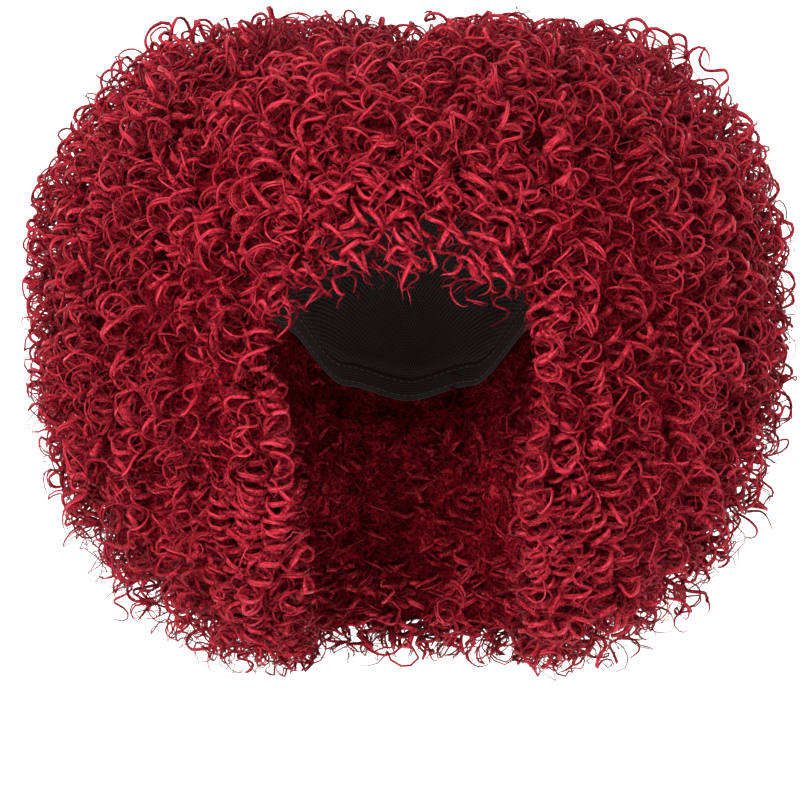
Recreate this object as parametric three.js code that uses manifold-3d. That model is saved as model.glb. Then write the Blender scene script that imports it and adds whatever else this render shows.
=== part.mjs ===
// An afro wig with a curly fringe. A hollow stretch cap ends in a rim band, and the hair that is
// sewn to it is built as thick winding locks fused to a clumped backing, in seven groups of curls.
// Millimetres, +Z up. The face opening looks towards -Y and +X is the viewer's right. The origin
// is where the crown of the head touches the inside of the cap.

import * as THREE from "three";
import { LoftGeometry } from "three/addons/geometries/LoftGeometry.js";
import { mergeVertices } from "three/addons/utils/BufferGeometryUtils.js";
import Module from "manifold-3d";

const wasm = await Module();
wasm.setup();

// Head that the cap fits, as the half sizes of an egg-shaped hollow
const HEAD_HALF_WIDTH = 77;
const HEAD_HALF_LENGTH = 97;
const HEAD_HALF_HEIGHT = 100;

// Cap and rim band
const CAP_WALL = 1.6;
const BAND_WIDTH = 14;
const CLEARANCE = 0.35;

// Hair, measured from the origin to the tips of the curls
const HAIR_HALF_WIDTH = 199;
const HAIR_RISE = 51;
const HAIR_DROP = 292;
const HAIR_FRONT = 128;
const HAIR_BACK = 182;
const HAIR_AXIS_BACK = 22;
const BACKING_INSET = 13;
const CLUMP_HEIGHT = 5;
const CLUMP_SPACING = 0.07;

// Parting over the top of the head
const PARTING_DEPTH = 13;
const PARTING_HALF_WIDTH = 20;
const PARTING_REACH = 0.22;

// Opening for the face, and the hollow for the neck
const FACE_HALF_WIDTH = 66;
const FACE_TOP = 62;
const FACE_RELIEF = 3;
const NECK_TOP = 145;
const NECK_HALF_WIDTH = 60;
const NECK_HALF_LENGTH = 62;
const NECK_CENTRE_BACK = 12;

// Reach of the fringe below the top of the face opening
const FRINGE_LENGTH = 34;

// Where one group of curls gives way to the next
const FRINGE_HALF_WIDTH = 58;
const FRINGE_START = 42;
const BACK_START = 66;
const TIER_LEVEL = 96;
const TIER_SLOPE = 0.34;

// One lock: how deep its root and its bend sit, its radii, where it bends, its waves and its facets
const LOCK_ROOT_DEPTH = 17;
const LOCK_BEND_DEPTH = 9;
const LOCK_RADIUS = 15;
const LOCK_TIP_RADIUS = 6;
const FRINGE_RADIUS = 8;
const FRAMING_RADIUS = 11;
const HEM_RADIUS = 12;
const LOCK_WAVE = 4;
const LOCK_TURNS = 1.2;
const LOCK_BEND = 0.45;
const LOCK_STEPS = 4;
const LOCK_SIDES = 5;

// Angle in radians by which each lock winds ahead of the one before it
const LOCK_LEAD = 2.4;

// Facets
const RING_POINTS = 34;
const HEAD_POINTS = 24;
const CAP_RINGS = 6;
const LOWER_HEAD_RINGS = 3;
const GRAIN = 0.14;
const FAR = 600;

// Rim of the cap, from the middle of the forehead round to the nape: how far the edge lies below
// the crown as a share of the head's height. The first ear rows are the tab in front of the ear.
const RIM = [
  { turn: 0, depth: 0.47 },
  { turn: 0.2, depth: 0.55 },
  { turn: 0.34, depth: 0.84 },
  { turn: 0.42, depth: 1.16 },
  { turn: 0.52, depth: 0.99 },
  { turn: 0.68, depth: 1.12 },
  { turn: 0.84, depth: 1.42 },
  { turn: 1, depth: 1.5 },
];

// Face opening as seen from the front: shares of its height, down to the tips of the hair and past
// them, and of its greatest half width
const FACE_OUTLINE = [
  { down: 0.0, half: 0.0 },
  { down: 0.013, half: 0.41 },
  { down: 0.06, half: 0.76 },
  { down: 0.14, half: 0.97 },
  { down: 0.3, half: 1.0 },
  { down: 0.45, half: 1.0 },
  { down: 0.6, half: 0.88 },
  { down: 0.75, half: 0.82 },
  { down: 0.92, half: 0.83 },
  { down: 2.0, half: 0.83 },
];

// Slices of the face opening, from the middle of the head to well past the front, as shares of the
// hair's reach
const FACE_SLICES = [0, 0.27, 0.47, 0.66, 0.86, 1.1, 3];

// Outer form of the hair. A level is a share of the whole height, down from the top, and the rest
// are shares of the hair's half width and of its reach to the front and the back.
const HAIR_SECTIONS = [
  { level: 0.0, width: 0.0, front: 0.0, back: 0.0 },
  { level: 0.0, width: 0.3, front: 0.3, back: 0.28 },
  { level: 0.022, width: 0.56, front: 0.52, back: 0.46 },
  { level: 0.07, width: 0.74, front: 0.76, back: 0.66 },
  { level: 0.15, width: 0.86, front: 0.93, back: 0.82 },
  { level: 0.25, width: 0.96, front: 1.0, back: 0.93 },
  { level: 0.36, width: 0.99, front: 0.97, back: 0.99 },
  { level: 0.48, width: 1.0, front: 0.92, back: 1.0 },
  { level: 0.6, width: 0.99, front: 0.87, back: 0.98 },
  { level: 0.71, width: 0.945, front: 0.82, back: 0.93 },
  { level: 0.81, width: 0.875, front: 0.76, back: 0.84 },
  { level: 0.9, width: 0.75, front: 0.69, back: 0.71 },
  { level: 0.96, width: 0.62, front: 0.62, back: 0.58 },
  { level: 1.0, width: 0.47, front: 0.55, back: 0.46 },
  { level: 1.0, width: 0.0, front: 0.0, back: 0.0 },
];

// Rows of locks over the outside: level of the roots, locks in a whole ring, and how far each one
// falls, as a share of the whole height
const LOCK_ROWS = [
  { level: 0.01, count: 6, fall: 0.05 },
  { level: 0.08, count: 9, fall: 0.11 },
  { level: 0.23, count: 10, fall: 0.16 },
  { level: 0.43, count: 12, fall: 0.17 },
  { level: 0.63, count: 11, fall: 0.16 },
  { level: 0.79, count: 9, fall: 0.14 },
];

// Locks that frame the face and the neck, on each side: root and fall as shares of the opening's
// height, forward as a share of the hair's reach, and the lean inwards as a share of the radius
const FRAMING_LOCKS = [
  { down: 0.07, forward: 0.72, fall: 0.23, inwards: 0.4 },
  { down: 0.27, forward: 0.69, fall: 0.23, inwards: 0.4 },
  { down: 0.47, forward: 0.63, fall: 0.24, inwards: 1.1 },
  { down: 0.71, forward: 0.52, fall: 0.23, inwards: 0.5 },
];

// Locks of the fringe: places across as shares of its half width, lengths as shares of the
// longest one, and the sideways lean as a share of the radius
const FRINGE_LOCKS = [
  { across: -0.83, length: 0.65, lean: -0.25 },
  { across: -0.62, length: 0.88, lean: 0.4 },
  { across: -0.36, length: 0.97, lean: -0.5 },
  { across: -0.12, length: 0.76, lean: 0.4 },
  { across: 0.14, length: 1, lean: 0.5 },
  { across: 0.38, length: 0.82, lean: -0.4 },
  { across: 0.62, length: 0.91, lean: 0.5 },
  { across: 0.83, length: 0.68, lean: 0.25 },
];

// Locks along the lower edge: turn round the ring
const HEM_TURNS = [0.24, 0.43, 0.62, 0.82, 1.0];

const hairHeight = HAIR_RISE + HAIR_DROP;

const interpolate = (rows, key, at, name) => {
  const next = Math.max(1, rows.findIndex((row) => row[key] >= at));
  const [a, b] = [rows[next - 1], rows[next]];
  const share = b[key] > a[key] ? THREE.MathUtils.clamp((at - a[key]) / (b[key] - a[key]), 0, 1) : 1;
  return THREE.MathUtils.lerp(a[name], b[name], share);
};

// A closed three.js geometry as a solid that can be joined and cut. Triangles that a pole has
// shrunk to a line are left out.
function solid(geometry) {
  const bare = new THREE.BufferGeometry();
  bare.setAttribute("position", geometry.getAttribute("position"));
  if (geometry.index) bare.setIndex(geometry.index);
  const merged = mergeVertices(bare, 1e-4);
  const index = merged.index.array;
  const triangles = [];
  for (let i = 0; i < index.length; i += 3) {
    const [a, b, c] = index.slice(i, i + 3);
    if (a !== b && b !== c && c !== a) triangles.push(a, b, c);
  }
  const made = new wasm.Manifold(
    new wasm.Mesh({
      numProp: 3,
      vertProperties: new Float32Array(merged.attributes.position.array),
      triVerts: new Uint32Array(triangles),
    }),
  );
  if (made.volume() < 0) throw new Error("a solid is inside out");
  return made;
}

function geometryOf(made) {
  const mesh = made.getMesh();
  const geometry = new THREE.BufferGeometry();
  geometry.setAttribute("position", new THREE.BufferAttribute(mesh.vertProperties, 3));
  geometry.setIndex(new THREE.BufferAttribute(mesh.triVerts, 1));
  geometry.computeVertexNormals();
  return geometry;
}

const loft = (sections) => solid(new LoftGeometry(sections, { capStart: true, capEnd: true }));
const skin = (rings) => solid(new LoftGeometry(rings));

const largestBody = (made) =>
  made.decompose().reduce((most, body) => (body.volume() > most.volume() ? body : most));

function block(minimum, maximum) {
  const size = new THREE.Vector3().subVectors(maximum, minimum);
  const centre = new THREE.Vector3().addVectors(maximum, minimum).multiplyScalar(0.5);
  const geometry = new THREE.BoxGeometry(size.x, size.y, size.z);
  return solid(geometry.translate(centre.x, centre.y, centre.z));
}

// Angle down from the crown at which the cap's edge lies, in the direction of a turn round the head
function rimAngle(turn) {
  const round = THREE.MathUtils.euclideanModulo(turn, 2);
  const half = round > 1 ? 2 - round : round;
  const next = Math.max(1, RIM.findIndex((row) => row.turn >= half));
  const [a, b] = [RIM[next - 1], RIM[next]];
  const share = THREE.MathUtils.smoothstep(half, a.turn, b.turn);
  return Math.acos(1 - THREE.MathUtils.lerp(a.depth, b.depth, share));
}

// A point on the head, offset outwards. Turn 0 is the forehead and turn 1 the nape.
function headPoint(turn, down, offset) {
  const across = Math.sin(down);
  return new THREE.Vector3(
    Math.sin(turn * Math.PI) * across * (HEAD_HALF_WIDTH + offset),
    -Math.cos(turn * Math.PI) * across * (HEAD_HALF_LENGTH + offset),
    Math.cos(down) * (HEAD_HALF_HEIGHT + offset) - HEAD_HALF_HEIGHT,
  );
}

const turnsOf = (count) => Array.from({ length: count }, (_, i) => (2 * i) / count);
const headTurns = turnsOf(HEAD_POINTS);
const headRing = (downAt, offset) => headTurns.map((turn) => headPoint(turn, downAt(turn), offset));

const bandAngle = BAND_WIDTH / HEAD_HALF_HEIGHT;
const gapAngle = CLEARANCE / HEAD_HALF_HEIGHT;
const bandTop = (turn) => rimAngle(turn) - bandAngle;
const capEdge = (turn) => bandTop(turn) - gapAngle;
const capShares = Array.from({ length: CAP_RINGS }, (_, i) => i / (CAP_RINGS - 1));
const capRings = (offset) =>
  capShares.map((share) => headRing((turn) => share * capEdge(turn), offset));

function wigCap() {
  return skin([...capRings(0), ...capRings(CAP_WALL).reverse()]);
}

// The band runs on from the edge of the cap, in a closed loop round the head
function rimBand() {
  const top = (offset) => headRing(bandTop, offset);
  const bottom = (offset) => headRing(rimAngle, offset);
  return skin([top(0), bottom(0), bottom(CAP_WALL), top(CAP_WALL), top(0)]);
}

// Everything that the head takes up, with the cap on it
function headHollow() {
  const offset = CAP_WALL + CLEARANCE;
  const lower = Array.from({ length: LOWER_HEAD_RINGS }, (_, i) => (i + 1) / LOWER_HEAD_RINGS);
  const sections = [
    ...capRings(offset),
    headRing(rimAngle, offset),
    ...lower.map((share) =>
      headRing((turn) => THREE.MathUtils.lerp(rimAngle(turn), Math.PI, share), offset),
    ),
  ];
  return skin(sections.reverse());
}

function neckHollow() {
  const ring = (z) =>
    headTurns.map(
      (turn) =>
        new THREE.Vector3(
          Math.sin(turn * Math.PI) * NECK_HALF_WIDTH,
          NECK_CENTRE_BACK - Math.cos(turn * Math.PI) * NECK_HALF_LENGTH,
          z,
        ),
    );
  return loft([ring(-FAR), ring(-NECK_TOP)]);
}

const faceLevel = (down) => -THREE.MathUtils.lerp(FACE_TOP, HAIR_DROP, down);
const faceEdge = (down) => FACE_HALF_WIDTH * interpolate(FACE_OUTLINE, "down", down, "half");

// Way in from the front to the middle of the head, with walls in clumps that alternate like bricks
function faceTunnel() {
  const right = FACE_OUTLINE.map(
    ({ down, half }) => new THREE.Vector2(half * FACE_HALF_WIDTH, faceLevel(down)),
  ).reverse();
  const left = right.slice(0, -1).reverse().map(({ x, y }) => new THREE.Vector2(-x, y));
  const outline = [...right, ...left];
  const slices = FACE_SLICES.map((forward, rank) =>
    outline.map(({ x, y }, place) => {
      const clump = (rank + place) % 2 ? FACE_RELIEF : -FACE_RELIEF;
      return new THREE.Vector3(x + Math.sign(x) * clump, -forward * HAIR_FRONT, y);
    }),
  );
  return loft(slices);
}

// A point of the hair's outer form, moved in by an inset. Turn 0 is the front and turn 1 the back.
function hairPoint(level, turn, inset, row) {
  const section =
    row ??
    Object.fromEntries(
      ["width", "front", "back"].map((name) => [name, interpolate(HAIR_SECTIONS, "level", level, name)]),
    );
  const forward = Math.cos(turn * Math.PI);
  const reach =
    forward > 0
      ? section.front * (HAIR_FRONT + HAIR_AXIS_BACK - inset)
      : section.back * (HAIR_BACK - HAIR_AXIS_BACK - inset);
  const x = Math.sin(turn * Math.PI) * section.width * (HAIR_HALF_WIDTH - inset);
  const fade = Math.max(0, 1 - level / PARTING_REACH);
  const dip = PARTING_DEPTH * fade * Math.exp(-((x / PARTING_HALF_WIDTH) ** 2));
  const z = HAIR_RISE - inset - level * (hairHeight - 2 * inset) - dip;
  return new THREE.Vector3(x, HAIR_AXIS_BACK - forward * reach, z);
}

// Rows of the hair's outer form, with a middle row wherever two of them lie far apart
const backingRows = HAIR_SECTIONS.flatMap((row, index) => {
  const next = HAIR_SECTIONS[index + 1];
  if (!next || next.level - row.level < CLUMP_SPACING) return [row];
  const names = Object.keys(row);
  return [row, Object.fromEntries(names.map((name) => [name, (row[name] + next[name]) / 2]))];
});

// Backing: the dense mass of hair under the locks, in clumps that alternate like bricks
function hairBacking() {
  const sections = backingRows.map((row, rank) =>
    turnsOf(RING_POINTS).map((turn, place) => {
      const clump = (Math.floor(rank / 2) + place) % 2 ? CLUMP_HEIGHT : -CLUMP_HEIGHT;
      return hairPoint(row.level, turn, BACKING_INSET - clump * row.width, row);
    }),
  );
  return skin(sections.reverse());
}

// A lock that winds along a path, thick at the root and thin at the tip
function lock(root, bend, tip, rootRadius, start) {
  const path = new THREE.QuadraticBezierCurve3(root, bend, tip);
  const frames = path.computeFrenetFrames(LOCK_STEPS);
  const across = (point, i, angle, distance) =>
    point
      .clone()
      .addScaledVector(frames.normals[i], Math.cos(angle) * distance)
      .addScaledVector(frames.binormals[i], Math.sin(angle) * distance);
  const sections = Array.from({ length: LOCK_STEPS + 1 }, (_, i) => {
    const share = i / LOCK_STEPS;
    const wave = LOCK_WAVE * Math.sin(share * Math.PI);
    const centre = across(path.getPointAt(share), i, start + share * LOCK_TURNS * 2 * Math.PI, wave);
    const radius = THREE.MathUtils.lerp(rootRadius, Math.min(LOCK_TIP_RADIUS, rootRadius / 2), share ** 2);
    return Array.from({ length: LOCK_SIDES }, (_, side) =>
      across(centre, i, (2 * Math.PI * side) / LOCK_SIDES, radius),
    );
  });
  return loft(sections);
}

// Locks over the outside of the hair, apart from those that would hang in the face opening
function outerLocks() {
  const made = [];
  LOCK_ROWS.forEach(({ level, count, fall }, index) => {
    for (let i = 0; i < count; i++) {
      const turn = (2 * (i + (index % 2 ? 0.5 : 0.15))) / count;
      const root = hairPoint(level, turn, LOCK_ROOT_DEPTH);
      const inFace = root.y < 0 && Math.abs(root.x) < FACE_HALF_WIDTH + LOCK_TIP_RADIUS;
      if (inFace && -root.z > FACE_TOP - LOCK_RADIUS) continue;
      const bend = hairPoint(level + fall * LOCK_BEND, turn, LOCK_BEND_DEPTH);
      const tip = hairPoint(level + fall, turn, LOCK_TIP_RADIUS);
      made.push({ at: root, solid: lock(root, bend, tip, LOCK_RADIUS, index + i * LOCK_LEAD) });
    }
  });
  return made;
}

// Locks of the fringe, which hang over the forehead
function fringeLocks() {
  const front = -HEAD_HALF_LENGTH - FRINGE_RADIUS * 1.5;
  return FRINGE_LOCKS.map(({ across, length, lean }, i) => {
    const x = across * FRINGE_HALF_WIDTH;
    const side = x + lean * FRINGE_RADIUS;
    const root = new THREE.Vector3(x, front, LOCK_ROOT_DEPTH - FACE_TOP);
    const bend = new THREE.Vector3(side, front - FRINGE_RADIUS, -FACE_TOP);
    const tip = new THREE.Vector3(side, front, -FACE_TOP - length * FRINGE_LENGTH);
    return { at: root, solid: lock(root, bend, tip, FRINGE_RADIUS, i * LOCK_LEAD) };
  });
}

// Locks that hang along both edges of the face opening
function framingLocks() {
  return [-1, 1].flatMap((side) =>
    FRAMING_LOCKS.map(({ down, forward, fall, inwards }, i) => {
      const edge = faceEdge(down + fall / 2) + FRAMING_RADIUS * 0.6;
      const inner = edge - inwards * FRAMING_RADIUS;
      const front = -forward * HAIR_FRONT;
      const root = new THREE.Vector3(side * edge, front, faceLevel(down));
      const bend = new THREE.Vector3(side * inner, front - LOCK_WAVE, faceLevel(down + fall / 2));
      const tip = new THREE.Vector3(side * inner, front, faceLevel(down + fall));
      return { at: root, solid: lock(root, bend, tip, FRAMING_RADIUS, i * LOCK_LEAD) };
    }),
  );
}

// Locks that hang from the lower edge
function hemLocks() {
  return HEM_TURNS.flatMap((turn, index) =>
    (turn < 1 ? [-turn, turn] : [turn]).map((at, i) => {
      const root = hairPoint(1, at, BACKING_INSET).setZ(LOCK_ROOT_DEPTH * 2 - HAIR_DROP);
      const bend = hairPoint(1, at, BACKING_INSET / 2).setZ(LOCK_ROOT_DEPTH - HAIR_DROP);
      const tip = hairPoint(1, at, BACKING_INSET / 2).setZ(-HAIR_DROP);
      return { at: root, solid: lock(root, bend, tip, HEM_RADIUS, index + i * LOCK_LEAD) };
    }),
  );
}

// The tier above a cone that falls away from the head, moved down by a gap
function upperTier(gap) {
  const edge = -TIER_LEVEL - gap;
  const profile = [
    new THREE.Vector2(0, edge),
    new THREE.Vector2(HEAD_HALF_WIDTH, edge),
    new THREE.Vector2(FAR, edge - (FAR - HEAD_HALF_WIDTH) * TIER_SLOPE),
    new THREE.Vector2(FAR, FAR),
    new THREE.Vector2(0, FAR),
  ];
  const turned = new THREE.LatheGeometry(profile, RING_POINTS);
  return solid(turned.rotateX(Math.PI / 2));
}

// Space of each group of curls, with half a clearance left at every boundary
function curlSpaces() {
  const edge = CLEARANCE / 2;
  const corner = (x, y, z) => new THREE.Vector3(x, y, z);
  const behindFringe = -FRINGE_START + edge;
  const backFace = BACK_START - edge;
  const fringe = block(
    corner(-FRINGE_HALF_WIDTH, -FAR, -FAR),
    corner(FRINGE_HALF_WIDTH, -FRINGE_START - edge, FAR),
  );
  const aroundFringe = block(
    corner(-FRINGE_HALF_WIDTH - CLEARANCE, -FAR, -FAR),
    corner(FRINGE_HALF_WIDTH + CLEARANCE, behindFringe, FAR),
  );
  const half = (side) =>
    side < 0
      ? block(corner(-FAR, -FAR, -FAR), corner(-edge, backFace, FAR))
      : block(corner(edge, -FAR, -FAR), corner(FAR, backFace, FAR));
  const back = block(corner(-FAR, BACK_START + edge, -FAR), corner(FAR, FAR, FAR));
  const upper = upperTier(0);
  const raised = upperTier(CLEARANCE);
  return {
    fringe_curls: fringe.intersect(upper),
    crown_curls_left: half(-1).subtract(aroundFringe).intersect(upper),
    crown_curls_right: half(1).subtract(aroundFringe).intersect(upper),
    back_curls: back.intersect(upper),
    side_curls_left: half(-1).subtract(raised),
    side_curls_right: half(1).subtract(raised),
    nape_curls: back.subtract(raised),
  };
}

const contains = (space, point) => {
  const grain = new THREE.BoxGeometry(0.1, 0.1, 0.1).translate(point.x, point.y, point.z);
  return !space.intersect(solid(grain)).isEmpty();
};

function curlGroups() {
  const hollow = headHollow().add(neckHollow());
  const opening = faceTunnel();
  const backing = hairBacking().subtract(hollow).subtract(opening);
  const locks = [...outerLocks(), ...fringeLocks(), ...framingLocks(), ...hemLocks()];
  return Object.entries(curlSpaces()).map(([name, space]) => {
    let curls = backing.intersect(space);
    for (const { at, solid: made } of locks) {
      if (contains(space, at)) curls = curls.add(made.subtract(hollow).intersect(space));
    }
    return [name, largestBody(curls).simplify(GRAIN)];
  });
}

const hairMaterial = new THREE.MeshStandardMaterial({ color: 0x7a1524, roughness: 0.5, metalness: 0 });
const capMaterial = new THREE.MeshStandardMaterial({ color: 0x1d1315, roughness: 0.9, metalness: 0 });
const bandMaterial = new THREE.MeshStandardMaterial({ color: 0x140d0e, roughness: 0.8, metalness: 0 });

function named(name, made, material) {
  const mesh = new THREE.Mesh(geometryOf(made), material);
  mesh.name = name;
  return mesh;
}

const wig = new THREE.Group();
wig.add(named("wig_cap", wigCap(), capMaterial));
wig.add(named("rim_band", rimBand(), bandMaterial));
for (const [name, made] of curlGroups()) wig.add(named(name, made, hairMaterial));

export default wig;
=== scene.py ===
"""A full afro wig of dark red corkscrew curls with a short curly fringe, hung in a plain studio.

Each group of curls is a dense inner mass with many thin corkscrew bands round it. All of them follow
one outer form, which bulges over the crown and narrows towards the shoulders.
"""

from functools import cache
from math import pi, radians

import bmesh
import bpy
import numpy as np
from bpy.props import FloatProperty, FloatVectorProperty, IntProperty, PointerProperty
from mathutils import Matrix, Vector
from mathutils.bvhtree import BVHTree


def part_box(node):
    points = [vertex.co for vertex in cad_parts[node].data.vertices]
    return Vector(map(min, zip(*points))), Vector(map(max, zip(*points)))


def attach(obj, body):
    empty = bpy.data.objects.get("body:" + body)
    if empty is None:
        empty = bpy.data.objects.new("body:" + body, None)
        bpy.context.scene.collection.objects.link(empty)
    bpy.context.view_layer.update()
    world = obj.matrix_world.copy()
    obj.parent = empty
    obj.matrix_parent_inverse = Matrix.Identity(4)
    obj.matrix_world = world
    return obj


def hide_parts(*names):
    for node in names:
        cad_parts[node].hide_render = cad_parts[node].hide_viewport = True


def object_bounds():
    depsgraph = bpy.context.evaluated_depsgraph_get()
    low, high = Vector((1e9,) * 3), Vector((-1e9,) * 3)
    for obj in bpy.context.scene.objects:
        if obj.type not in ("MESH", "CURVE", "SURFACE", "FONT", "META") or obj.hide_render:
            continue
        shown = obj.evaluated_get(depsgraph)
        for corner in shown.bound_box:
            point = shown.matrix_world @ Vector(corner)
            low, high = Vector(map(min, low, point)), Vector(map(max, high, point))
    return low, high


bl_info = {
    "name": "Afro Wig",
    "version": (1, 0, 0),
    "blender": (4, 5, 0),
    "location": "View3D > Sidebar > Afro Wig",
    "description": "Makes a curly afro wig round its fitted cap",
    "category": "Add Mesh",
}

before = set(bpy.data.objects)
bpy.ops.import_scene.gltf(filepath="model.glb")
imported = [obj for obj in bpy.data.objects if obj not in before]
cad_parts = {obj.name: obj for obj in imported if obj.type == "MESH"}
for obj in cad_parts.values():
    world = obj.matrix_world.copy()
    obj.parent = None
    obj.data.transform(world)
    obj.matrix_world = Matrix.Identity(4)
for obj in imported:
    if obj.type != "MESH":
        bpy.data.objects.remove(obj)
CAD_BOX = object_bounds()
CAD_LOW, CAD_HIGH = CAD_BOX

CAP_WALL = 0.0016
HEAD_HALF_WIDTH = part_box("rim_band")[1].x - CAP_WALL
HEAD_HALF_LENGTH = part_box("wig_cap")[1].y - CAP_WALL
HAIR_HALF_WIDTH = (CAD_HIGH.x - CAD_LOW.x) / 2 - 0.0005
UPPER_NODES = ("crown_curls_left", "crown_curls_right", "back_curls")
SIDES = {"side_curls_left": -1, "side_curls_right": 1, "nape_curls": 0}
LOWER_NODES = tuple(SIDES)
FRINGE_NODE = "fringe_curls"
CURL_NODES = (FRINGE_NODE, *UPPER_NODES, *LOWER_NODES)

DOWN = np.array([0, 0, -1.0])
FULL_TURN = 2 * pi
SAME_PLACE = 1e-6
SHORTEST = 1e-9

# Outer form of the hair, from the top down: level as a share of the height, then the half width
# and the reach to the front and the back as shares of the greatest ones
HAIR_SECTIONS = np.array([
    (0.0, 0.0, 0.0, 0.0),
    (0.0, 0.3, 0.3, 0.28),
    (0.022, 0.56, 0.52, 0.46),
    (0.07, 0.74, 0.76, 0.66),
    (0.15, 0.86, 0.93, 0.82),
    (0.25, 0.96, 1.0, 0.93),
    (0.36, 0.99, 0.97, 0.99),
    (0.48, 1.0, 0.92, 1.0),
    (0.6, 0.99, 0.87, 0.98),
    (0.71, 0.945, 0.82, 0.93),
    (0.81, 0.875, 0.76, 0.84),
    (0.9, 0.75, 0.69, 0.71),
    (0.96, 0.62, 0.62, 0.58),
    (1.0, 0.47, 0.55, 0.46),
    (1.0, 0.0, 0.0, 0.0),
])

# Face opening: depth below the crown and half its width, in metres
FACE_OUTLINE = np.array([
    (0.062, 0.0),
    (0.065, 0.027),
    (0.076, 0.05),
    (0.094, 0.064),
    (0.13, 0.066),
    (0.165, 0.066),
    (0.2, 0.058),
    (0.235, 0.054),
    (0.6, 0.055),
])

# Rim of the cap, from the middle of the forehead round to the nape: turn, and how far the edge lies
# below the crown as a share of the head's height
RIM = np.array([
    (0.0, 0.47),
    (0.2, 0.55),
    (0.34, 0.84),
    (0.42, 1.16),
    (0.52, 0.99),
    (0.68, 1.12),
    (0.84, 1.42),
    (1.0, 1.5),
])

# Cross-section of the rim band: shares of its thickness from the head outwards and of its width
# from the top down
BAND_SECTION = (
    (0, 0.04), (0, 0.35), (0, 0.65), (0, 0.96), (0.25, 1), (0.75, 1),
    (1, 0.96), (1, 0.65), (1, 0.35), (1, 0.04), (0.75, 0), (0.25, 0),
)

# Kinds of locks, with sizes in metres. A pair holds the least and the greatest. Strands are the bands
# that wind together as one lock, and depth is a strand's thickness as a share of its width. Inset is
# how far a lock's tip lies inside the outer form, and splay its steepness out of the hair in degrees.
# Lean is how unevenly locks hang, and wander the size of their slow waves.
LAYERS = {
    "full": dict(
        spacing=0.0192, length=(0.03, 0.042), inset=(0.007, 0.015), splay=(0, 27), strands=1,
        coil=(0.0047, 0.0063), pitch=(0.0105, 0.0148), band=0.0032, depth=0.24, steps=34,
        tone=(0.0, 1.0),
    ),
    "outer": dict(
        spacing=0.0265, length=(0.056, 0.085), inset=(0.0, 0.004), splay=(2, 26), strands=2,
        coil=(0.0047, 0.0062), pitch=(0.0145, 0.019), band=0.0014, depth=0.42, steps=50,
        tone=(0.3, 1.0),
    ),
    "single": dict(
        spacing=0.029, length=(0.038, 0.06), inset=(-0.004, 0.001), splay=(4, 30), strands=1,
        coil=(0.0043, 0.0062), pitch=(0.0155, 0.0215), band=0.0012, depth=0.42, steps=36,
        tone=(0.2, 0.9),
    ),
    "stray": dict(
        spacing=0.06, length=(0.045, 0.07), inset=(-0.012, -0.002), splay=(18, 45), strands=1,
        coil=(0.0044, 0.0056), pitch=(0.0135, 0.0175), band=0.0019, depth=0.42, steps=50,
        tone=(0.3, 0.9),
    ),
    "frizz": dict(
        spacing=0.0182, length=(0.02, 0.045), inset=(-0.004, 0.007), splay=(5, 55), strands=1,
        coil=(0.003, 0.009), pitch=(0.013, 0.026), band=0.0005, depth=0.3, steps=12,
        tone=(0.4, 1.0),
    ),
}
WALL_LOCKS = dict(
    strands=2, length=(0.03, 0.045), coil=(0.0046, 0.0062), pitch=(0.009, 0.012), band=0.0025,
    depth=0.28, steps=27, tone=(0.0, 0.7), lean=0.014, wander=0.005,
)
FRONT_LOCKS = dict(
    strands=2, length=(0.08, 0.12), inset=(0.006, 0.014), coil=(0.005, 0.0066),
    pitch=(0.0078, 0.0102), band=0.0024, depth=0.32, steps=105, tone=(0.1, 0.9), lean=0.009,
    wander=0.007,
)

# Rows of the fringe: inner is how far from the middle a row begins, top how far below the crown its
# locks begin, shorter what they lack of the longest, and out how far they stand off the forehead
FRINGE_ROWS = (
    dict(
        count=36, inner=0.0, top=(0.018, 0.036), shorter=(0.024, 0.048), out=(0.006, 0.022),
        strands=2, coil=(0.004, 0.0058), pitch=(0.0115, 0.0145), band=0.0019, depth=0.42,
        steps=34, tone=(0.1, 0.8), wander=0.0025,
    ),
    dict(
        count=22, inner=0.04, top=(0.03, 0.05), shorter=(0.0, 0.03), out=(0.006, 0.02),
        strands=2, coil=(0.0045, 0.006), pitch=(0.0115, 0.0145), band=0.002, depth=0.42,
        steps=36, tone=(0.1, 0.8), wander=0.0025,
    ),
    dict(
        count=23, inner=0.0, top=(0.03, 0.046), shorter=(0.0, 0.018), out=(0.014, 0.024),
        strands=1, coil=(0.0046, 0.0058), pitch=(0.014, 0.0175), band=0.0026, depth=0.45,
        steps=54, tone=(0.3, 0.9), wander=0.0025,
    ),
    dict(
        count=30, inner=0.0, top=(0.03, 0.05), shorter=(0.0, 0.03), out=(0.01, 0.022),
        strands=1, coil=(0.003, 0.006), pitch=(0.013, 0.018), band=0.0011, depth=0.42,
        steps=40, tone=(0.2, 0.9), wander=0.0025,
    ),
)
FRINGE_HALF_WIDTH = 0.066
FOREHEAD_HALF_WIDTH = 0.11
FRINGE_LENGTH = 0.105

# The fringe grows longer outwards: where that begins, and by how much for each metre
LONGER_FROM = 0.045
LONGER = 1.2

# Lean of the fringe to the side and forward: the middle value and the spread of each
FRINGE_SIDEWAYS = (0, 0.006)
FRINGE_FORWARD = (0.002, 0.003)

# Places of locks: how far they are shifted, as a share of their spacing and in metres, how near to
# the two ends of the form they may come, and the points by which the way round it is measured
JITTER = 0.4
SIDE_SHIFT = 0.003
ENDS = (0.01, 0.99)
RING_POINTS = 65

# Least distance from the middle that a point inside the head is taken to have, as a share, and the
# greatest share of the hair's half width at which its front is looked up
CORE = 0.2
SIDEMOST = 0.95

# How strands differ within a lock: phase in radians, coil and width as shares, and tone
PHASE_SPREAD = 0.25
COIL_SPREAD = (0.88, 1.08)
WIDTH_SPREAD = (0.65, 1.3)
TONE_SPREAD = 0.08
# Painted highlight and shade: how much lighter a coil is painted on its side away from the middle
# point, and darker on its side towards it
PAINTED_COIL_HIGHLIGHT = 0.3

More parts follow.
